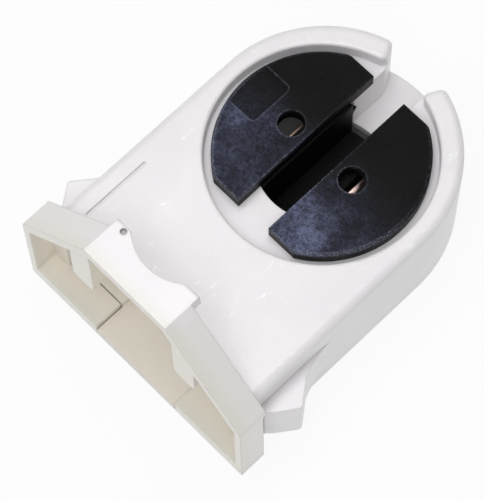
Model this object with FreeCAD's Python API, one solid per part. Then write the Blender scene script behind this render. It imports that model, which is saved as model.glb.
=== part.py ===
import FreeCAD, Part
import math
import os

# Rotary lamp holder for a tube lamp with two pins, plugged into a slot in sheet metal.
# Millimetres. X runs across the holder, Y towards the mouth that the lamp pins enter,
# Z out of the front face. The lamp axis is X = Y = 0 and the flat back lies at Z = 0.

V = FreeCAD.Vector

# Lamp pins
PIN_SPACING = 12.7
PIN_D = 2.35

# Rotor: a disc on a flattened hub, both slotted for the pins
HUB_CLEAR = 0.1
HUB_T = 8.6
HUB_SLOT_W = 4.2
HUB_SLOT_DEPTH = 9.3
HUB_FLOOR_T = 1.2
DISC_OVER = 4.975
DISC_T = 2.0
DISC_LIFT = 0.1
DISC_FLAT_CUT = 1.75
DISC_SLOT_W = 4.8
DISC_EDGE = 0.25
LUG_LIP = 0.6
LUG_H = 1.2
LUG_PLAY = 0.2
PROBE_R = 1.6
PROBE_OUT = 0.55
FIELD_LEN = 4.5
FIELD_W = 5.9
FIELD_DEPTH = 0.25
FIELD_CORNER_R = 0.6

# Housing body, with the recess that the disc turns in and the web left under it
DISC_CLEAR = 0.9
RIM_W = 2.2
BODY_D = 15.2
ARCH_UP = 0.7
WALL = 1.6
FRONT_EDGE_R = 1.0
BACK_EDGE_R = 0.7
NECK_LEN = 25.9
RECESS_DEPTH = 1.9
RECESS_EDGE_R = 0.4
WEB_T = 1.1
CHAMBER_CLEAR = 0.3

# Mouth that the pins enter
MOUTH_W = 5.4
MOUTH_FLOOR_DEPTH = 8.8
MOUTH_FLOOR_T = 1.2
MOUTH_WALL = 1.2
FLARE_W = 8.2
FLARE_LEN = 2.7
TIP_R = 0.8

# Snap arms, measured up from the bearing face of the foot
ARM_LEN = 10.9
ARM_LEAD = 1.2
ARM_T = 1.4
ARM_BACK = 3.2
ARM_FRONT_DROP = 4.2
ARM_GAP = 0.4
ARM_TAPER = 0.6
ARM_BEND_UP = 6.9
ARM_BEND_OUT = 1.15
BARB_OUT = 3.2
BARB_TIP_UP = 4.1
BARB_LAND = 0.4
BARB_HEEL_OUT = 1.5
BARB_HEEL_UP = 1.5
SHEET_GAP = 0.7
ARM_ROOM = 1.0
INNER_WALL_T = 1.0
ROOT_WEB_T = 1.6

# Fine groove in the front face beside the left arm
GROOVE_IN = 2.4
GROOVE_W = 0.3
GROOVE_DEPTH = 0.3
GROOVE_UP = 1.9

# Hollow foot
FOOT_H = 3.9
FOOT_LIP = 1.8
FOOT_SIDE_D = 15.0
FOOT_FRONT_D = 27.5
FOOT_FRONT_W = 12.5
FOOT_CORNER_R = 1.0
FOOT_WALL = 1.4
FOOT_END_T = 1.0
FOOT_BACK_T = 2.4
DECK_T = 1.0
BLOCK_RISE = 1.3
BLOCK_T = 2.2
BLOCK_EDGE_R = 0.4
NOTCH_W = 8.6
NOTCH_DEPTH = 1.7
DIMPLE_R = 0.4
DIMPLE_IN = 1.5
DIMPLE_DROP = 0.7
DIMPLE_DEPTH = 0.5
FOOT_RIB_X = 8.05
FOOT_RIB_T = 3.3
FOOT_RIB_UP = 0.5
FOOT_RIB_R = 1.1
FOOT_RIB_DROP = 0.5
PAD_LEN = 5.4
PAD_IN = 0.5
PAD_R = 0.35
PAD_RELIEF = 0.4

# Rear cover
COVER_T = 1.5
COVER_LIP = 0.8
COVER_GAP = 0.12
TONGUE_W = 12.8
TONGUE_LAP = 2.0
BOSS_R = 3.0
BOSS_BORE_R = 1.8
BOSS_PLAY = 0.2
RAIL_T = 1.2
RAIL_LEN = 6.0

# Terminal wall, wire holes and the partitions that steady the contact strips
TERMINAL_UP = 7.1
TERMINAL_T = 1.2
WIRE_R = 1.0
WIRE_PITCH = 2.7
WIRE_SIDE = 3.4
PARTITION_T = 1.0
PARTITION_DROP = 0.5

# Contact strips
STRIP_T = 0.3
STRIP_W = 5.2
STRIP_TOP_GAP = 0.1
STRIP_SIDE_GAP = 0.15
LEAF_GAP = 0.35
LEAF_FOOT = 0.3
LEAF_UP = 5.8
LEAF_CURL = 0.9
LEAF_CURL_UP = 1.4
SHOULDER_DROP = 1.0
BUS_CLEAR = 0.6
CLAMP_DROP = 3.4
CLAMP_BEND = 0.8
CLAMP_TIP_IN = 0.6
CLAMP_TIP_UP = 2.9

# Worked out from the sizes above
HUB_R = PIN_SPACING / 2 + PIN_D / 2
BORE_R = HUB_R + HUB_CLEAR
LUG_R = HUB_R + LUG_LIP
CHAMBER_R = LUG_R + CHAMBER_CLEAR
DISC_R = HUB_R + DISC_OVER
RECESS_R = DISC_R + DISC_CLEAR
HALF_W = RECESS_R + RIM_W
INNER_R = HALF_W - WALL
FRONT_IN = BODY_D - WALL
LEDGE_Z = BODY_D - RECESS_DEPTH
WEB_Z = LEDGE_Z - WEB_T
DISC_Z0 = LEDGE_Z + DISC_LIFT
DISC_Z1 = DISC_Z0 + DISC_T
HUB_FLOOR_Z = DISC_Z1 - HUB_SLOT_DEPTH
HUB_Z0 = HUB_FLOOR_Z - HUB_FLOOR_T
MOUTH_FLOOR_Z = BODY_D - MOUTH_FLOOR_DEPTH
DECK_Y = -NECK_LEN
FOOT_Y = DECK_Y - FOOT_H
ARM_ROOT_Y = DECK_Y + ARM_LEN
ARM_FRONT = BODY_D - ARM_FRONT_DROP
ARM_IN = HALF_W - ARM_T
INNER_WALL_X = ARM_IN - ARM_ROOM
SIDE_WALL_X = INNER_WALL_X - INNER_WALL_T
TERMINAL_Y = DECK_Y + TERMINAL_UP
SHOULDER_Y = -CHAMBER_R - SHOULDER_DROP
STRIP_Z0 = WEB_Z - STRIP_TOP_GAP - STRIP_W
LEAF_X = HUB_T / 2 + LEAF_GAP + STRIP_T / 2
WIRE_X = SIDE_WALL_X - WIRE_SIDE
WIRE_Z = STRIP_Z0 + STRIP_W / 2
BUS_X = WIRE_X - WIRE_R - BUS_CLEAR - STRIP_T
BUS_IN = BUS_X - STRIP_T / 2
FAR = 4 * HALF_W
OVER = 1.0
NEAR = 0.01


def box(x0, x1, y0, y1, z0, z1):
    return Part.makeBox(x1 - x0, y1 - y0, z1 - z0, V(x0, y0, z0))


def rod(r, z0, z1, x=0.0, y=0.0):
    return Part.makeCylinder(r, z1 - z0, V(x, y, z0))


def prism(points, z0, z1):
    """A polygon in X and Y, extruded from z0 to z1."""
    ring = [V(x, y, z0) for x, y in points]
    face = Part.Face(Part.makePolygon(ring + ring[:1]))
    return face.extrude(V(0, 0, z1 - z0))


def plan_prism(points, y0, y1):
    """A polygon in X and Z, extruded from y0 to y1."""
    ring = [V(x, y0, z) for x, z in points]
    face = Part.Face(Part.makePolygon(ring + ring[:1]))
    return face.extrude(V(0, y1 - y0, 0))


def mirrored(shape):
    return shape.mirror(V(0, 0, 0), V(1, 0, 0))


def both_sides(shape):
    return [shape, mirrored(shape)]


def arch(r, y_low, z0, z1):
    """The body's outline: a half round a little above the lamp axis, on a straight neck."""
    up = ARCH_UP
    corners = [V(-r, y_low, z0), V(r, y_low, z0), V(r, up, z0), V(-r, up, z0)]
    edges = [
        Part.makeLine(corners[0], corners[1]),
        Part.makeLine(corners[1], corners[2]),
        Part.Arc(corners[2], V(0, up + r, z0), corners[3]).toShape(),
        Part.makeLine(corners[3], corners[0]),
    ]
    return Part.Face(Part.Wire(edges)).extrude(V(0, 0, z1 - z0))


def edges_at(shape, test):
    return [e for e in shape.Edges if test(e.BoundBox)]


def one_solid(shape):
    return shape.removeSplitter().Solids[0]


def body_block():
    """The outside of the body, its front edge well rounded and its back edge slightly."""
    block = arch(HALF_W, DECK_Y, 0, BODY_D)
    front = edges_at(block, lambda b: b.ZMin > BODY_D - NEAR and b.YMax > DECK_Y + NEAR)
    block = block.makeFillet(FRONT_EDGE_R, front)
    back = edges_at(block, lambda b: b.ZMax < NEAR and b.YMax > DECK_Y + NEAR)
    return block.makeFillet(BACK_EDGE_R, back)


def body_hollow():
    """The space inside, open at the back, with a way down into the foot."""
    space = arch(INNER_R, DECK_Y, -OVER, FRONT_IN)
    web = rod(INNER_R + OVER, WEB_Z, FRONT_IN + OVER)
    way = box(-INNER_R, INNER_R, DECK_Y - DECK_T - OVER, DECK_Y + OVER, FOOT_BACK_T, FRONT_IN)
    return space.cut(web).fuse(way)


def cover_seat():
    """The step in the back of the walls that the rear cover drops into."""
    return arch(INNER_R + COVER_LIP, DECK_Y, -OVER, COVER_T)


def rotor_recess():
    """The round recess, its upper edge broken by a small radius."""
    recess = rod(RECESS_R, LEDGE_Z, BODY_D)
    edge = Part.makeTorus(RECESS_R + RECESS_EDGE_R, RECESS_EDGE_R, V(0, 0, BODY_D - RECESS_EDGE_R))
    rim = rod(RECESS_R + RECESS_EDGE_R, BODY_D - RECESS_EDGE_R, BODY_D + OVER)
    return recess.fuse(rim.cut(edge))


def mouth_walls():
    """The two walls and the floor of the channel from the mouth to the bore."""
    half = MOUTH_W / 2 + MOUTH_WALL
    wide = FLARE_W / 2 + MOUTH_WALL
    flare_y = HALF_W + ARCH_UP - FLARE_LEN
    right = [(half, 0), (half, flare_y - MOUTH_WALL), (wide, flare_y + MOUTH_WALL), (wide, FAR)]
    left = [(-x, y) for x, y in reversed(right)]
    walls = prism(right + left, MOUTH_FLOOR_Z - MOUTH_FLOOR_T, WEB_Z)
    inside = arch(INNER_R + WALL / 2, -OVER, 0, BODY_D)
    return walls.common(inside).cut(rod(CHAMBER_R, 0, BODY_D))


def mouth_slot():
    """The slot that the pins come down, flared at its outer end."""
    half = MOUTH_W / 2
    wide = FLARE_W / 2
    outer = ARCH_UP + math.sqrt(HALF_W ** 2 - wide ** 2)
    slope = (wide - half) / FLARE_LEN
    right = [
        (half, 0),
        (half, outer - FLARE_LEN),
        (wide, outer),
        (wide + slope * OVER, outer + OVER),
        (wide + slope * OVER, FAR),
    ]
    left = [(-x, y) for x, y in reversed(right)]
    slot = prism(right + left, MOUTH_FLOOR_Z, BODY_D + OVER)
    return slot.cut(rod(BORE_R - OVER, 0, WEB_Z))


def arm():
    """One snap arm: a blade that curves out of the side wall and ends in a wedge barb."""
    end_y = DECK_Y + SHEET_GAP
    tip_y = DECK_Y + BARB_TIP_UP
    z = ARM_BACK
    start = V(HALF_W, ARM_ROOT_Y + ARM_LEAD, z)
    bend = V(HALF_W + ARM_BEND_OUT, DECK_Y + ARM_BEND_UP, z)
    middle = V(HALF_W + ARM_BEND_OUT / 4, (start.y + bend.y) / 2, z)
    straight = [
        (HALF_W + BARB_OUT, tip_y + BARB_LAND / 2),
        (HALF_W + BARB_OUT, tip_y - BARB_LAND / 2),
        (HALF_W + BARB_HEEL_OUT, DECK_Y + BARB_HEEL_UP),
        (HALF_W + BARB_HEEL_OUT / 2, end_y),
        (ARM_IN + 2 * ARM_TAPER, end_y),
        (ARM_IN + ARM_TAPER, tip_y),
        (ARM_IN, ARM_ROOT_Y - ARM_LEAD),
        (ARM_IN, start.y),
    ]
    corners = [bend] + [V(x, y, z) for x, y in straight] + [start]
    edges = [Part.makeLine(a, b) for a, b in zip(corners, corners[1:])]
    edges.append(Part.Arc(start, middle, bend).toShape())
    return Part.Face(Part.Wire(edges)).extrude(V(0, 0, ARM_FRONT - ARM_BACK))


def arm_window():
    """The opening in the side wall that leaves the arm free all round."""
    return box(INNER_WALL_X, FAR, DECK_Y, ARM_ROOT_Y, ARM_BACK - ARM_GAP, ARM_FRONT + ARM_GAP)


def neck_walls():
    """Inner walls beside the arms, the webs at their roots and the terminal wall."""
    side = box(SIDE_WALL_X, INNER_WALL_X, DECK_Y, ARM_ROOT_Y, COVER_T, FRONT_IN)
    root = box(SIDE_WALL_X, INNER_R + WALL / 2, ARM_ROOT_Y, ARM_ROOT_Y + ROOT_WEB_T, COVER_T, FRONT_IN)
    terminal = box(-INNER_WALL_X, INNER_WALL_X, TERMINAL_Y - TERMINAL_T, TERMINAL_Y, COVER_T, FRONT_IN)
    x1 = BUS_IN - STRIP_SIDE_GAP
    partition = box(x1 - PARTITION_T, x1, TERMINAL_Y, SHOULDER_Y - PARTITION_DROP, COVER_T, FRONT_IN)
    return both_sides(side) + both_sides(root) + [terminal] + both_sides(partition)


def wire_holes():
    """Two holes a side through the terminal wall, for stripped wires pushed in from the foot."""
    holes = []
    for step in (-0.5, 0.5):
        z = WIRE_Z + step * WIRE_PITCH
        start = V(WIRE_X, TERMINAL_Y - TERMINAL_T - OVER, z)
        hole = Part.makeCylinder(WIRE_R, TERMINAL_T + 2 * OVER, start, V(0, 1, 0))
        holes += both_sides(hole)
    return holes


def foot_plan(inset_side=0.0, inset_back=0.0, inset_slant=0.0):
    """The foot's outline in X and Z: straight back, two ends, two slants and a front."""
    x1 = HALF_W + FOOT_LIP
    x0 = FOOT_FRONT_W / 2
    run = x1 - x0
    rise = FOOT_FRONT_D - FOOT_SIDE_D
    slant = math.hypot(run, rise)
    z_front = FOOT_FRONT_D - inset_slant
    x_side = x1 - inset_side

    def slant_z(x):
        return FOOT_SIDE_D + (x1 - x) * rise / run - inset_slant * slant / run

    x_front = x1 - (z_front + inset_slant * slant / run - FOOT_SIDE_D) * run / rise
    right = [(x_side, inset_back), (x_side, slant_z(x_side)), (x_front, z_front)]
    left = [(-x, z) for x, z in reversed(right)]
    return right + left


def foot_ring():
    """The hollow foot: an open skirt under a deck that bears on the sheet metal."""
    skirt = plan_prism(foot_plan(), FOOT_Y, DECK_Y)
    corners = edges_at(skirt, lambda b: b.YLength > FOOT_H / 2 and abs(b.ZMin - FOOT_SIDE_D) < NEAR)
    skirt = skirt.makeFillet(FOOT_CORNER_R, corners)
    room = plan_prism(foot_plan(FOOT_END_T, FOOT_BACK_T, FOOT_WALL), FOOT_Y - OVER, DECK_Y - DECK_T)
    return skirt.cut(room)


def foot_block():
    """The taller front wall of the foot, dished along its top edge."""
    half = FOOT_FRONT_W / 2
    z0 = FOOT_FRONT_D - BLOCK_T
    top = DECK_Y + BLOCK_RISE
    block = box(-half, half, DECK_Y - DECK_T, top, z0, FOOT_FRONT_D)
    corners = edges_at(block, lambda b: b.YMin > top - NEAR and b.ZMin > FOOT_FRONT_D - NEAR)
    block = block.makeFillet(BLOCK_EDGE_R, corners)
    r = (NOTCH_W ** 2 / 4 + NOTCH_DEPTH ** 2) / (2 * NOTCH_DEPTH)
    dish = rod(r, z0 - OVER, FOOT_FRONT_D + OVER, 0, top - NOTCH_DEPTH + r)
    return block, dish


def block_dimple():
    """A small pit in the front of the block, near its left corner."""
    x = -FOOT_FRONT_W / 2 + DIMPLE_IN
    y = DECK_Y + BLOCK_RISE - DIMPLE_DROP
    return rod(DIMPLE_R, FOOT_FRONT_D - DIMPLE_DEPTH, FOOT_FRONT_D + OVER, x, y)


def foot_ribs():
    """Ribs that tie the slanted walls to the front wall of the body, rounded at their lower end."""
    x0 = FOOT_RIB_X - FOOT_RIB_T / 2
    x1 = FOOT_RIB_X + FOOT_RIB_T / 2
    z0 = FRONT_IN - FOOT_RIB_DROP
    rib = box(x0, x1, FOOT_Y + FOOT_RIB_UP, DECK_Y - DECK_T / 2, z0, FOOT_FRONT_D)
    corners = edges_at(rib, lambda b: b.ZMax < z0 + NEAR and b.XLength < NEAR)
    rib = rib.makeFillet(FOOT_RIB_R, corners)
    inside = plan_prism(foot_plan(FOOT_END_T / 2, FOOT_BACK_T, FOOT_WALL / 2), FOOT_Y, DECK_Y)
    return both_sides(rib.common(inside))


def lip_relief():
    """What is cut from the lips of the deck, so that the sheet metal bears on a pad at the back."""
    y0 = DECK_Y - PAD_RELIEF
    lip = box(HALF_W, FAR, y0, DECK_Y + OVER, -OVER, FOOT_SIDE_D - FOOT_CORNER_R)
    pad = box(HALF_W - OVER, HALF_W + FOOT_LIP - PAD_IN, y0 - OVER, DECK_Y, -2 * OVER, PAD_LEN)
    corner = edges_at(pad, lambda b: b.YMin > DECK_Y - NEAR and (b.ZMin > PAD_LEN - NEAR or b.XLength < NEAR))
    outer = [e for e in corner if e.BoundBox.XMin > HALF_W or e.BoundBox.ZMin > PAD_LEN - NEAR]
    return both_sides(lip.cut(pad.makeFillet(PAD_R, outer)))


def front_groove():
    """A fine groove in the front face beside the left arm."""
    x = -HALF_W + GROOVE_IN
    return box(x, x + GROOVE_W, DECK_Y + GROOVE_UP, ARM_ROOT_Y, BODY_D - GROOVE_DEPTH, BODY_D + OVER)


def housing():
    """The white moulding: body, mouth, snap arms and hollow foot in one piece."""
    block, dish = foot_block()
    shell = body_block().fuse([foot_ring(), block])
    shell = shell.cut([body_hollow(), dish, arm_window(), mirrored(arm_window())])
    shell = shell.fuse(neck_walls() + [mouth_walls()] + foot_ribs())
    shell = shell.cut(lip_relief() + [block_dimple()]).fuse(both_sides(arm()))
    bore = rod(BORE_R, WEB_Z - 1, BODY_D)
    way_x = TONGUE_W / 2 + COVER_GAP
    way = box(-way_x, way_x, FOOT_Y - OVER, DECK_Y, -OVER, FOOT_BACK_T + OVER)
    shell = shell.cut([rotor_recess(), bore, mouth_slot(), cover_seat(), way, front_groove()] + wire_holes())
    tips = edges_at(shell, lambda b: b.XLength < NEAR and b.YLength < NEAR and b.YMin > INNER_R)
    return one_solid(shell.makeFillet(TIP_R, tips))


def rotor():
    """The black rotor: a slotted disc with two flats on a flattened, slotted hub."""
    disc = rod(DISC_R, DISC_Z0, DISC_Z1)
    rims = edges_at(disc, lambda b: b.ZMin > DISC_Z1 - NEAR)
    disc = disc.makeChamfer(DISC_EDGE, rims)
    flat_y = DISC_R - DISC_FLAT_CUT
    disc = disc.common(box(-FAR, FAR, -flat_y, flat_y, 0, FAR))
    hub = rod(HUB_R, HUB_Z0, DISC_Z0)
    lug_z = WEB_Z - LUG_PLAY
    lugs = Part.makeCone(HUB_R, LUG_R, LUG_H, V(0, 0, lug_z - LUG_H))
    hub = hub.fuse(lugs).common(box(-HUB_T / 2, HUB_T / 2, -FAR, FAR, 0, FAR))
    disc_slot = box(-DISC_SLOT_W / 2, DISC_SLOT_W / 2, -FAR, FAR, DISC_Z0, FAR)
    hub_slot = box(-HUB_SLOT_W / 2, HUB_SLOT_W / 2, -FAR, FAR, HUB_FLOOR_Z, DISC_Z0)
    holes = both_sides(rod(PROBE_R, DISC_Z0, FAR, HUB_T / 2 + PROBE_OUT, 0))
    return one_solid(disc.cut(holes + [bare_field()]).fuse(hub).cut([disc_slot, hub_slot]))


def bare_field():
    """A shallow field sunk in the left half of the disc, open at the rim."""
    field_x = -DISC_R + FIELD_LEN
    field = box(-FAR, field_x, -FIELD_W / 2, FIELD_W / 2, DISC_Z1 - FIELD_DEPTH, FAR)
    corners = edges_at(field, lambda b: b.XMin > field_x - NEAR and b.YLength < NEAR)
    return field.makeFillet(FIELD_CORNER_R, corners)


def rear_cover():
    """The plate that closes the back, with a tongue down into the foot's back wall."""
    r = INNER_R + COVER_LIP - COVER_GAP
    plate = arch(r, DECK_Y + COVER_GAP, 0, COVER_T)
    tongue = box(-TONGUE_W / 2, TONGUE_W / 2, FOOT_Y, DECK_Y + TONGUE_LAP, 0, COVER_T)
    boss = rod(BOSS_R, 0, HUB_Z0 - BOSS_PLAY)
    rail_y = (TERMINAL_Y - CHAMBER_R) / 2
    rail_top = STRIP_Z0 - STRIP_TOP_GAP
    rail = box(BUS_IN, BUS_IN + RAIL_T, rail_y - RAIL_LEN / 2, rail_y + RAIL_LEN / 2, 0, rail_top)
    pad_y = TERMINAL_Y - TERMINAL_T - COVER_GAP
    pad = box(TONGUE_W / 2, SIDE_WALL_X - COVER_GAP, DECK_Y + COVER_GAP, pad_y, 0, FOOT_BACK_T)
    cover = plate.fuse([tongue, boss] + both_sides(rail) + both_sides(pad))
    well = rod(BOSS_BORE_R, COVER_T, HUB_Z0)
    return one_solid(cover.cut(well))


def strip(points, z0, z1):
    """A bent strip on edge: a path thickened to both sides and mitred at each bend."""
    normals = []
    for (xa, ya), (xb, yb) in zip(points, points[1:]):
        run = math.hypot(xb - xa, yb - ya)
        normals.append((-(yb - ya) / run, (xb - xa) / run))
    left = []
    right = []
    for i, (x, y) in enumerate(points):
        before = normals[max(i - 1, 0)]
        after = normals[min(i, len(normals) - 1)]
        mitre_x = before[0] + after[0]
        mitre_y = before[1] + after[1]
        reach = STRIP_T / 2 / (mitre_x * before[0] + mitre_y * before[1])
        left.append((x + mitre_x * reach, y + mitre_y * reach))
        right.append((x - mitre_x * reach, y - mitre_y * reach))
    return prism(left + right[::-1], z0, z1)


def contact():
    """One contact strip: a wire clamp folded at the bottom and a leaf beside the hub."""
    outer_x = SIDE_WALL_X - STRIP_SIDE_GAP - STRIP_T / 2
    low_y = TERMINAL_Y + STRIP_SIDE_GAP + STRIP_T / 2
    clamp_y = SHOULDER_Y - CLAMP_DROP
    path = [
        (WIRE_X - CLAMP_TIP_IN, low_y + CLAMP_TIP_UP),
        (outer_x - CLAMP_BEND, clamp_y + CLAMP_BEND),
        (outer_x, clamp_y),
        (outer_x, low_y),
        (BUS_X, low_y),
        (BUS_X, SHOULDER_Y),
        (LEAF_X, -HUB_R + LEAF_FOOT),
        (LEAF_X, LEAF_UP),
        (LEAF_X + LEAF_CURL, LEAF_UP + LEAF_CURL_UP),
    ]
    body = strip(path, STRIP_Z0, STRIP_Z0 + STRIP_W)
    holes = []
    for step in (-0.5, 0.5):
        start = V(WIRE_X, low_y - OVER, WIRE_Z + step * WIRE_PITCH)
        holes.append(Part.makeCylinder(WIRE_R, 2 * OVER, start, V(0, 1, 0)))
    return one_solid(body.cut(holes))


def main():
    right = contact()
    parts = {
        "housing": housing(),
        "rear_cover": rear_cover(),
        "rotor": rotor(),
        "contact_right": right,
        "contact_left": mirrored(right),
    }
    os.makedirs("parts", exist_ok=True)
    for name, shape in parts.items():
        print(name, shape.isValid(), len(shape.Solids), round(shape.Volume, 1))
        shape.exportStep("parts/" + name + ".step")


main()
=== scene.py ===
"""Studio picture of a rotary tube lamp holder: white moulding, black rotor, bronze strips."""

import math

import bpy
from mathutils import Matrix, Vector


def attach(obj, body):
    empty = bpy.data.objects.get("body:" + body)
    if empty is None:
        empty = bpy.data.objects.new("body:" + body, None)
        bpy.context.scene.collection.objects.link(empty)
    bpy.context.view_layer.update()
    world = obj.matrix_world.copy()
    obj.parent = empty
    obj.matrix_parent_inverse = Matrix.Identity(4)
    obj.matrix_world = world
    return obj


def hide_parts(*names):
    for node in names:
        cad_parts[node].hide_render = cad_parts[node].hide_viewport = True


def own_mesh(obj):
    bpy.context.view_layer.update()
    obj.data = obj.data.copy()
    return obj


# The lamp axis is z, the foot of the holder lies towards -y and its back is at z = 0.
# Lengths in the constants are in millimetres and angles in degrees.
MM = 0.001

# The camera and the point that it looks at
LOOK_AT = (-2.138, -10.672, 0.0)
LOOK_AZIMUTH = 47.34
LOOK_ELEVATION = 69.07
LOOK_ROLL = -1.8
LOOK_DISTANCE = 313.9
LENS = 193.24
SENSOR = 36.0

# Square soft boxes: name, place, length of a side, power in watts and colour
SOFT_BOXES = (
    ("key", (-62.0, 4.0, 300.0), 100.0, 0.187, (1.0, 0.98, 1.0)),
    ("front", (100.0, -170.0, 400.0), 240.0, 0.585, (0.985, 0.97, 1.0)),
    ("left", (-170.0, -200.0, 220.0), 180.0, 0.094, (1.0, 1.0, 1.0)),
    ("mouth", (-20.0, 160.0, 330.0), 150.0, 0.10, (1.0, 1.0, 1.0)),
)

# The surround that lights the holder evenly, and the sheet under it, whose glow is the share of
# plain white that the camera sees there
WHITE = (1.0, 1.0, 1.0)
SURROUND = (0.985, 0.983, 0.97)
SURROUND_STRENGTH = 0.345
PAPER = (0.93, 0.93, 0.93)
PAPER_GLOW = 0.9
PAPER_SIZE = 3000.0
PAPER_GAP = 0.1

# The bend where a contact's leaf, which the turned hub pushes out, leaves its upright, on the right
# side. The
# # leaf is cut from its clamp along a plane through this bend that leans outwards.
LEAF_BEND = (6.9, -9.425)
LEAF_LEAN = 0.2

# How a contact's mesh is cleaned: corners joined, flat triangles merged, sharp edges broken
STRIP_MERGE = 0.001
STRIP_FLAT = 0.5
STRIP_EDGE = 0.04
STRIP_SHARP = 40.0

# The folded tab at the top of the right leaf, that a tester's tip meets. It drops by a share of
# its reach.
TAB_START = -0.45
TAB_END = 1.15
TAB_UNDERSIDE = 11.75
TAB_REACH = 0.38
TAB_DROP = 0.25

# The faces that the tab is drawn from look outwards and lie well inside the bend
TAB_FACING = 0.99
TAB_INSIDE = 1.0

# Zones of the white plastic, each the two ends of a soft step. DOWN counts from the lamp axis
# towards the foot, SIDE from the middle to either side and SLANT square to the foot's slants.
# The others are heights above the back.
SLANT_NORMAL = (0.746, 0.666)
NECK_DOWN = (19.0, 20.5)
NECK_TOP = (12.8, 13.6)
NECK_SIDE = (13.0, 14.5)
FOOT_DOWN = (25.0, 26.2)
FOOT_TOP = (25.5, 27.2)
ROOM_DOWN = (26.2, 26.9)
ROOM_FLOOR = (1.6, 2.4)
ROOM_TOP = (25.8, 26.4)
ROOM_SLANT = (21.6, 22.3)
ROOM_SIDE = (16.5, 17.1)
LIP_DOWN = (27.7, 29.7)
PLATE_FROM = (14.9, 15.1)
PLATE_TO = (15.3, 15.6)
# The dimple in the foot's block, and the reach of the painted shade in it
DIMPLE = (-4.75, -25.3, 27.0)
DIMPLE_SHADE_REACH = (0.42, 0.56)
COVER_INNER = (0.8, 1.3)

# Colours of the white moulding and of the cover
PLASTIC_DARK = (0.866, 0.853, 0.864)
PLASTIC_LIGHT = (0.896, 0.881, 0.890)
PLASTIC_WARM = (0.875, 0.862, 0.826)
# Painted glow: brighter cream inside the hollows, standing in for light shining through the plastic
PLASTIC_HOLLOW_GLOW = (0.915, 0.872, 0.772)
# Painted shade: a darker tan along the lip of the foot, where less light falls
PLASTIC_LIP_SHADE = (0.835, 0.815, 0.735)
COVER_DARK = (0.855, 0.847, 0.845)
COVER_LIGHT = (0.875, 0.868, 0.862)
# Painted shade for the dimple in the foot's block
DIMPLE_SHADE = (0.30, 0.30, 0.29)

# Nicks on the plate: noise scale, direction and waver, and how far the noise is drawn out
LONG_NICKS = (1500.0, -38.0, 1.1)
CROSS_NICKS = (2300.0, 8.0, 1.6)
NICK_STRETCH = 0.22

# The rotor's face: where a bluish sheen is painted on it, and the edges that get a painted
# highlight
FACE_HEIGHT = (14.5, 15.0)
SHEEN_DOWN = (-4.0, 9.0)
HIGHLIGHT_DOWN = (-3.0, 4.0)
RIGHT_SHEEN = (4.5, -8.5, 15.4)
RIGHT_SHEEN_REACH = (0.5, 5.5)
LEFT_SHEEN = (-9.5, -3.5, 15.4)
LEFT_SHEEN_REACH = (0.5, 7.0)
RIM = (12.05, 12.22)
SLOT_EDGE = 2.48
SLOT_HIGHLIGHT_SPREAD = (0.03, 0.16)
FLAT_EDGE = 10.67
HOLE_PLACE = 4.85
HOLE_EDGE = 1.68
EDGE_HIGHLIGHT_SPREAD = (0.03, 0.14)

# The recessed field on the rotor's face: the right end and half width of its core, and how far
# it spreads beyond that
FIELD_RIGHT = -8.6
FIELD_HALF = 2.35
FIELD_SPREAD = (0.5, 0.6)
FIELD_EDGE = 0.68
FIELD_HIGHLIGHT_SPREAD = (0.04, 0.14)

# Colours of the rotor: black, a painted bluish sheen, a painted highlight on its edges and painted
# glints
ROTOR_BLACK = (0.0026, 0.0026, 0.0025)
ROTOR_SHEEN = (0.118, 0.132, 0.226)
# A painted highlight along the rotor's edges
ROTOR_HIGHLIGHT = (0.21, 0.22, 0.27)
# Painted glints
ROTOR_GLINT = (0.30, 0.32, 0.40)

# The contact strips: colours, the step between the left and the right one, and how closely the
# rolling lines lie
BRONZE = (0.96, 0.76, 0.69)
BRONZE_DULL = (0.74, 0.50, 0.42)
# Painted shade for the left strip
BRONZE_SHADE = (0.42, 0.29, 0.24)
STRIP_MIDDLE = (-1.0, 1.0)
ROLLING_STRETCH = 14.0


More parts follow.
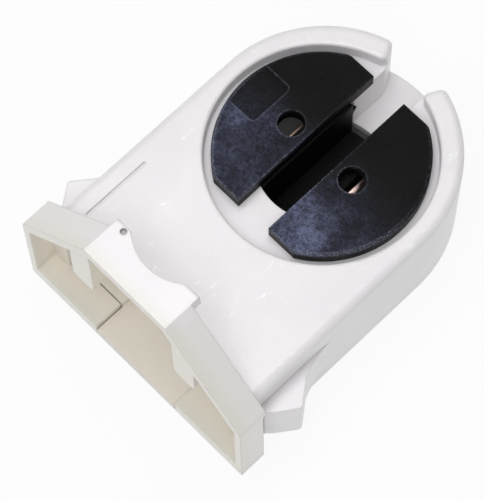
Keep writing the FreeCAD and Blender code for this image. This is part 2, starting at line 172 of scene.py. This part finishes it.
class Value:
    """One output of a shader node, so that shader maths reads as plain expressions."""

    def __init__(self, tree, socket=None):
        self.tree = tree
        self.socket = socket

    def feed(self, socket, value):
        """Links a socket to a value, or sets it. A colour is written as three numbers."""
        if isinstance(value, Value):
            self.tree.links.new(value.socket, socket)
        elif socket.type == "RGBA":
            socket.default_value = (*value, 1.0)
        else:
            socket.default_value = value

    def node(self, kind, settings=None, inputs=None, output=0):
        """Adds a node, sets it up, feeds its inputs and gives one of its outputs."""
        made = self.tree.nodes.new(kind)
        for name, value in (settings or {}).items():
            setattr(made, name, value)
        for name, value in (inputs or {}).items():
            self.feed(made.inputs[name], value)
        return Value(self.tree, made.outputs[output])

    def math(self, operation, *terms):
        """A sum, product or other operation on numbers and values."""
        return self.node("ShaderNodeMath", {"operation": operation}, dict(enumerate(terms)))

    def __add__(self, other):
        return self.math("ADD", self, other)

    def __radd__(self, other):
        return self.math("ADD", other, self)

    def __sub__(self, other):
        return self.math("SUBTRACT", self, other)

    def __rsub__(self, other):
        return self.math("SUBTRACT", other, self)

    def __mul__(self, other):
        return self.math("MULTIPLY", self, other)

    def __rmul__(self, other):
        return self.math("MULTIPLY", other, self)

    def __abs__(self):
        return self.math("ABSOLUTE", self)

    def root(self):
        """The square root."""
        return self.math("SQRT", self)

    def largest(self, *others):
        """The largest of this value and others."""
        result = self
        for other in others:
            result = result.math("MAXIMUM", result, other)
        return result

    def rise(self, low, high):
        """0 below low, 1 above high and a soft step between."""
        inputs = {"Value": self, "From Min": low, "From Max": high}
        return self.node("ShaderNodeMapRange", {"interpolation_type": "SMOOTHSTEP"}, inputs)

    def beyond(self, low, high):
        """For a length: 0 up to low, 1 from high on, both in millimetres."""
        return self.rise(low * MM, high * MM)

    def within(self, low, high):
        """For a length: 1 up to low, 0 from high on, both in millimetres."""
        return 1 - self.beyond(low, high)

    def beside(self, place, core, reach):
        """For a length: 1 on a line at this place, in millimetres, and 0 beyond its reach."""
        return abs(self - place * MM).within(core, reach)

    def distance(self, point):
        """How far a place is from a point given in millimetres."""
        inputs = {0: self, 1: Vector(point) * MM}
        return self.node("ShaderNodeVectorMath", {"operation": "DISTANCE"}, inputs, 1)

    def stretched(self, scale, turn=(0.0, 0.0, 0.0)):
        """The place, scaled along each axis and turned by radians."""
        inputs = {"Vector": self, "Scale": scale, "Rotation": turn}
        return self.node("ShaderNodeMapping", None, inputs)

    def noise(self, scale, detail=3.0, roughness=0.55, waver=0.0):
        """Noise from 0 to 1, with the scale in cells to the metre."""
        inputs = {"Vector": self, "Scale": scale, "Detail": detail}
        inputs.update({"Roughness": roughness, "Distortion": waver})
        return self.node("ShaderNodeTexNoise", None, inputs)

    def tint(self, first, second):
        """The first colour where this value is 0, the second where it is 1."""
        inputs = {0: self, 6: first, 7: second}
        return self.node("ShaderNodeMix", {"data_type": "RGBA"}, inputs, 2)

    def bump(self, strength, height, edge):
        """The surface's relief, on edges broken by a small radius, in millimetres."""
        soft = self.node("ShaderNodeBevel", {"samples": 8}, {"Radius": edge * MM})
        inputs = {"Height": self, "Strength": strength, "Distance": height * MM, "Normal": soft}
        return self.node("ShaderNodeBump", None, inputs)


def new_material(name, fixed):
    """A material with its shader's fixed values set, its shader, and the place on the object."""
    material = bpy.data.materials.new(name)
    material.use_nodes = True
    start = Value(material.node_tree)
    shader = start.tree.nodes["Principled BSDF"]
    for socket, value in fixed.items():
        start.feed(shader.inputs[socket], value)
    return material, shader, start.node("ShaderNodeTexCoord", output="Object")


def axes(place):
    """The three coordinates of a place."""
    split = place.node("ShaderNodeSeparateXYZ", None, {"Vector": place}).socket.node
    return [Value(place.tree, output) for output in split.outputs]


def surface(place, shader, colour, roughness, normal):
    """Feeds a shader with what varies over the surface."""
    inputs = {"Base Color": colour, "Roughness": roughness, "Normal": normal}
    for socket, value in inputs.items():
        place.feed(shader.inputs[socket], value)


def scratches(place, scale, angle, waver):
    """Wavy noise, drawn out along a direction of the front face."""
    turn = (0.0, 0.0, math.radians(angle))
    return place.stretched((1.0, NICK_STRETCH, 1.0), turn).noise(scale, 2.0, 0.6, waver)


def white_moulding():
    """Glossy white plastic with faint flow marks and bright nicks, warmer at the foot, with a
    painted glow inside the foot and painted shade along its lip and in its dimple.
    """
    fixed = {"IOR": 1.49, "Coat Weight": 0.15, "Coat Roughness": 0.12}
    material, shader, place = new_material("White moulding", fixed)
    x, y, z = axes(place)
    down = 0 - y
    side = abs(x)
    slant = SLANT_NORMAL[0] * side + SLANT_NORMAL[1] * z

    # Plain plastic, warmer at the foot, with a painted cream glow where it is hollow, standing in
    # for light
    #     # shining through the thin walls, and painted shade in tan along its lip
    foot = down.beyond(*FOOT_DOWN) * z.within(*FOOT_TOP)
    neck = down.beyond(*NECK_DOWN) * z.within(*NECK_TOP) * side.within(*NECK_SIDE)
    room = down.beyond(*ROOM_DOWN) * z.beyond(*ROOM_FLOOR) * z.within(*ROOM_TOP)
    room = room * slant.within(*ROOM_SLANT) * side.within(*ROOM_SIDE)
    cloud = place.noise(160.0, 2.0).rise(0.35, 0.7)
    plain = cloud.tint(PLASTIC_DARK, PLASTIC_LIGHT)
    warm = (foot * (0.75 + 0.25 * cloud)).tint(plain, PLASTIC_WARM)
    hollow_glow = neck.largest(room).tint(warm, PLASTIC_HOLLOW_GLOW)
    # Painted shade: a darker tan along the foot's lip
    tan = (0.8 * down.beyond(*LIP_DOWN)).tint(hollow_glow, PLASTIC_LIP_SHADE)

    # Nicks in two directions, each in patches of its own, and dots, on the front plate alone
    patches = place.noise(260.0, 2.0)
    long_nicks = scratches(place, *LONG_NICKS).rise(0.635, 0.68) * patches.rise(0.51, 0.57)
    cross_nicks = scratches(place, *CROSS_NICKS).rise(0.64, 0.69) * (1 - patches.rise(0.42, 0.48))
    dots = place.noise(2600.0, 1.0).rise(0.72, 0.78)
    nicks = long_nicks.largest(cross_nicks, dots)
    nicks = nicks * z.beyond(*PLATE_FROM) * z.within(*PLATE_TO)

    # Painted shade in the dimple of the foot's block
    dimple_shade = 0.75 * place.distance(DIMPLE).within(*DIMPLE_SHADE_REACH)
    colour = dimple_shade.tint(nicks.tint(tan, WHITE), DIMPLE_SHADE)
    roughness = 0.24 + 0.16 * place.noise(900.0, 2.0) - 0.1 * nicks
    relief = place.noise(420.0, 3.0) * 0.6 + place.noise(2600.0, 2.0) * 0.12 + nicks * 0.5
    surface(place, shader, colour, roughness, relief.bump(0.22, 0.12, 0.25))
    return material


def white_cover():
    """The same white in a satin finish, for the plate at the back."""
    material, shader, place = new_material("White cover", {"IOR": 1.49})
    y, z = axes(place)[1:]
    # Painted glow: the cover is brighter cream low inside the foot, standing in for light through
    # the plastic
    low = (0 - y).beyond(*NECK_DOWN) * z.beyond(*COVER_INNER)
    cloud = place.noise(150.0, 2.0).rise(0.35, 0.7)
    colour = low.tint(cloud.tint(COVER_DARK, COVER_LIGHT), PLASTIC_HOLLOW_GLOW)
    roughness = 0.42 + 0.2 * place.noise(1200.0, 2.0)
    surface(place, shader, colour, roughness, place.noise(1400.0, 3.0).bump(0.15, 0.1, 0.15))
    return material


def black_moulding():
    """Black plastic with a fine grain, a painted bluish sheen towards the foot, and painted
    highlights on its edges and painted glints.
    """
    fixed = {"IOR": 1.5, "Specular IOR Level": 0.11}
    material, shader, place = new_material("Black moulding", fixed)
    x, y, z = axes(place)
    down = 0 - y
    top = z.beyond(*FACE_HEIGHT)

    # How far a place is from the core of the recessed field, which runs off to the left
    beyond_x = (x - FIELD_RIGHT * MM).largest(0.0)
    beyond_y = (abs(y) - FIELD_HALF * MM).largest(0.0)
    from_field = (beyond_x * beyond_x + beyond_y * beyond_y).root()
    in_field = from_field.within(*FIELD_SPREAD)

    # Painted sheen: a bluish reflection broken by a cloud, brighter in one spot on each half,
    # fainter in the field
    cloud = place.noise(300.0, 3.0, 0.6).rise(0.36, 0.66)
    fine = place.noise(2300.0, 3.0, 0.75).rise(0.34, 0.66)
    right = place.distance(RIGHT_SHEEN).within(*RIGHT_SHEEN_REACH)
    left = place.distance(LEFT_SHEEN).within(*LEFT_SHEEN_REACH)
    wide = down.beyond(*SHEEN_DOWN) * (0.14 + 0.26 * cloud)
    sheen = wide + (0.5 + 0.5 * cloud) * (0.78 * right + 0.28 * left)
    sheen = sheen * (0.45 + 0.95 * fine) * (1 - 0.7 * in_field)

    # Edges: a broken painted highlight along each, stronger towards the foot
    rim = place.stretched((1.0, 1.0, 0.0)).distance((0.0, 0.0, 0.0)).beyond(*RIM)
    slot_edge = abs(x).beside(SLOT_EDGE, *SLOT_HIGHLIGHT_SPREAD)
    flat_edge = abs(y).beside(FLAT_EDGE, *EDGE_HIGHLIGHT_SPREAD)
    field_edge = from_field.beside(FIELD_EDGE, *FIELD_HIGHLIGHT_SPREAD)
    hole_x = abs(x) - HOLE_PLACE * MM
    from_hole = (hole_x * hole_x + y * y).root()
    hole_edge = from_hole.beside(HOLE_EDGE, *EDGE_HIGHLIGHT_SPREAD)
    highlight_breaks = place.noise(6200.0, 2.0, 0.8).rise(0.44, 0.62)
    low_side = 0.25 + 0.75 * down.beyond(*HIGHLIGHT_DOWN)
    edges = rim.largest(slot_edge * 0.8, flat_edge, hole_edge) * highlight_breaks * low_side
    edges = edges.largest(field_edge * (0.1 + 0.35 * highlight_breaks)) * top * 0.75

    # Painted glints: fine bright specks, mostly where the sheen is painted
    glints = place.noise(8000.0, 1.0).rise(0.58, 0.76) * top * (0.02 + 0.8 * sheen)
    dull = (sheen * top).tint(ROTOR_BLACK, ROTOR_SHEEN)
    colour = glints.tint(edges.tint(dull, ROTOR_HIGHLIGHT), ROTOR_GLINT)
    grain = place.noise(5200.0, 2.0, 0.7)
    roughness = 0.30 + 0.2 * grain + 0.1 * cloud
    relief = grain + 0.5 * place.noise(1500.0, 3.0) + 0.8 * place.noise(350.0, 2.0)
    surface(place, shader, colour, roughness, relief.bump(0.45, 0.16, 0.15))
    return material


def copper_strip():
    """Bright bronze strip with rolling lines along it and patches of tarnish; the left one is
    painted darker, as shade.
    """
    material, shader, place = new_material("Bronze strip", {"Metallic": 1.0})
    # The left strip is painted darker, as shade; both strips have patches of tarnish
    left = axes(place)[0].within(*STRIP_MIDDLE)
    tarnish_and_shade = place.noise(500.0, 3.0).rise(0.45, 0.75).largest(left)
    lines = place.stretched((1.0, 1.0, ROLLING_STRETCH)).noise(900.0, 2.0)
    colour = left.tint(tarnish_and_shade.tint(BRONZE, BRONZE_DULL), BRONZE_SHADE)
    roughness = 0.24 + 0.16 * tarnish_and_shade + 0.08 * lines
    surface(place, shader, colour, roughness, lines.bump(0.1, 0.05, 0.05))
    return material


def use_alone(piece):
    """Makes a piece the only selected and the active one."""
    bpy.ops.object.select_all(action="DESELECT")
    piece.select_set(True)
    bpy.context.view_layer.objects.active = piece


def fold_tab(piece):
    """Draws a short tab outwards from the top of the leaf, where the probe hole shows it."""
    for place, normal in (
        ((0.0, TAB_START, 0.0), (0.0, 1.0, 0.0)),
        ((0.0, TAB_END, 0.0), (0.0, 1.0, 0.0)),
        ((0.0, 0.0, TAB_UNDERSIDE), (0.0, 0.0, 1.0)),
    ):
        bpy.ops.mesh.select_all(action="SELECT")
        bpy.ops.mesh.bisect(plane_co=Vector(place) * MM, plane_no=normal)
    bpy.ops.object.mode_set(mode="OBJECT")
    for element in (*piece.data.vertices, *piece.data.edges, *piece.data.polygons):
        element.select = False
    for face in piece.data.polygons:
        middle = face.center / MM
        outer = face.normal.x > TAB_FACING and middle.x < LEAF_BEND[0] - TAB_INSIDE
        face.select = outer and TAB_START < middle.y < TAB_END and middle.z > TAB_UNDERSIDE
    bpy.ops.object.mode_set(mode="EDIT")
    bpy.ops.mesh.select_mode(type="FACE")
    reach = (TAB_REACH * MM, 0.0, -TAB_DROP * TAB_REACH * MM)
    bpy.ops.mesh.extrude_region_move(TRANSFORM_OT_translate={"value": reach})


def rounded_strip(node, name, finish, tab):
    """A contact strip as a piece of its own, its triangles joined and its edges broken."""
    piece = bpy.data.objects.new(name, node.data.copy())
    bpy.context.scene.collection.objects.link(piece)
    use_alone(piece)
    bpy.ops.mesh.customdata_custom_splitnormals_clear()
    bpy.ops.object.mode_set(mode="EDIT")
    bpy.ops.mesh.select_all(action="SELECT")
    bpy.ops.mesh.remove_doubles(threshold=STRIP_MERGE * MM)
    bpy.ops.mesh.dissolve_limited(angle_limit=math.radians(STRIP_FLAT))
    if tab:
        fold_tab(piece)
    bpy.ops.object.mode_set(mode="OBJECT")
    bevel = piece.modifiers.new("edge", "BEVEL")
    bevel.width = STRIP_EDGE * MM
    bevel.segments = 2
    bevel.limit_method = "ANGLE"
    bevel.angle_limit = math.radians(STRIP_SHARP)
    bpy.ops.object.modifier_apply(modifier="edge")
    piece.data.materials.clear()
    piece.data.materials.append(finish)
    return piece


def cut_back(piece, bend, outward, keep_inner):
    """Keeps what lies on one side of the leaning plane and closes the cut."""
    use_alone(piece)
    bpy.ops.object.mode_set(mode="EDIT")
    bpy.ops.mesh.select_all(action="SELECT")
    bpy.ops.mesh.bisect(
        plane_co=bend,
        plane_no=outward,
        use_fill=True,
        clear_inner=not keep_inner,
        clear_outer=keep_inner,
    )
    bpy.ops.object.mode_set(mode="OBJECT")
    bpy.ops.object.shade_smooth_by_angle(angle=math.radians(STRIP_SHARP))


def contact_pieces(nodes, finish):
    """Each contact in two pieces: a fixed clamp, and a leaf that the turned hub presses aside."""
    for name, side in (("contact_right", 1.0), ("contact_left", -1.0)):
        bend = Vector((side * LEAF_BEND[0], LEAF_BEND[1], 0.0)) * MM
        outward = Vector((side, -LEAF_LEAN, 0.0)).normalized()
        clamp = rounded_strip(nodes[name], name + "_clamp", finish, False)
        leaf = rounded_strip(nodes[name], name + "_leaf", finish, side > 0)
        cut_back(clamp, bend, outward, False)
        cut_back(leaf, bend, outward, True)
        for piece in (clamp, leaf):
            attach(piece, "holder")
            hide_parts(name)
        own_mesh(leaf)


def floor():
    """A white sheet under the holder, nearly white to the camera, that keeps a soft shadow."""
    location = (0.0, 0.0, -PAPER_GAP * MM)
    bpy.ops.mesh.primitive_plane_add(size=PAPER_SIZE * MM, location=location)
    sheet = bpy.context.object
    sheet.name = "floor"
    fixed = {"Base Color": PAPER, "Roughness": 0.9}
    material, shader, place = new_material("Paper", fixed)
    seen = place.node("ShaderNodeLightPath", output="Is Camera Ray")
    glossy = place.node("ShaderNodeLightPath", output="Is Glossy Ray")
    glow = place.node("ShaderNodeEmission", None, {"Color": WHITE, "Strength": 1.0})
    paper = Value(place.tree, shader.outputs["BSDF"])
    share = PAPER_GLOW * seen.largest(glossy)
    mixed = place.node("ShaderNodeMixShader", None, {0: share, 1: paper, 2: glow})
    place.feed(place.tree.nodes["Material Output"].inputs["Surface"], mixed)
    sheet.data.materials.append(material)


def daylight():
    """An even surround that the camera sees as white."""
    world = bpy.data.worlds.new("Surround")
    bpy.context.scene.world = world
    world.use_nodes = True
    start = Value(world.node_tree)
    start.tree.nodes.clear()
    seen = start.node("ShaderNodeLightPath", output="Is Camera Ray")
    inputs = {"Color": SURROUND, "Strength": SURROUND_STRENGTH}
    light = start.node("ShaderNodeBackground", None, inputs)
    white = start.node("ShaderNodeBackground", None, {"Color": WHITE, "Strength": 1.0})
    mixed = start.node("ShaderNodeMixShader", None, {0: seen, 1: light, 2: white})
    output = start.tree.nodes.new("ShaderNodeOutputWorld")
    start.feed(output.inputs["Surface"], mixed)


def soft_box(name, place, size, power, colour):
    """A square lamp, turned to the point that the camera looks at."""
    where = Vector(place) * MM
    bpy.ops.object.light_add(type="AREA", location=where)
    lamp = bpy.context.object
    lamp.name = name
    lamp.data.shape = "SQUARE"
    lamp.data.size = size * MM
    lamp.data.energy = power
    lamp.data.color = colour
    aim = Vector(LOOK_AT) * MM - where
    lamp.rotation_euler = aim.to_track_quat("-Z", "Y").to_euler()


def camera():
    """The photograph's angle: nearly down on the front face, from the foot's right corner."""
    azimuth = math.radians(LOOK_AZIMUTH)
    elevation = math.radians(LOOK_ELEVATION)
    roll = math.radians(LOOK_ROLL)
    back = Vector((
        math.sin(azimuth) * math.cos(elevation),
        -math.cos(azimuth) * math.cos(elevation),
        math.sin(elevation),
    ))
    level = Vector((math.cos(azimuth), math.sin(azimuth), 0.0))
    upright = back.cross(level)
    right = level * math.cos(roll) + upright * math.sin(roll)
    up = upright * math.cos(roll) - level * math.sin(roll)
    where = (Vector(LOOK_AT) + back * LOOK_DISTANCE) * MM
    bpy.ops.object.camera_add()
    eye = bpy.context.object
    turn = Matrix((right, up, back)).transposed().to_4x4()
    eye.matrix_world = Matrix.Translation(where) @ turn
    eye.data.lens = LENS
    eye.data.sensor_width = SENSOR
    bpy.context.scene.camera = eye


def dress(nodes):
    """Gives the housing, the cover and the rotor their finishes."""
    finishes = {
        "housing": white_moulding(),
        "rear_cover": white_cover(),
        "rotor": black_moulding(),
    }
    for name, finish in finishes.items():
        for slot in nodes[name].material_slots:
            slot.material = finish


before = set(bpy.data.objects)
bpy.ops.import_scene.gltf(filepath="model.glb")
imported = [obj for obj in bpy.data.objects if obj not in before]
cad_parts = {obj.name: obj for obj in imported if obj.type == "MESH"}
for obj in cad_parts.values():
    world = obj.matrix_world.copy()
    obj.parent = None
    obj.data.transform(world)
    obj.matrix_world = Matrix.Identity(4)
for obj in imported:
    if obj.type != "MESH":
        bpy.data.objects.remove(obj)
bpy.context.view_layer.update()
dress(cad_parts)
contact_pieces(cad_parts, copper_strip())
floor()
daylight()
for box in SOFT_BOXES:
    soft_box(*box)
camera()
bpy.context.scene.view_settings.view_transform = "Standard"
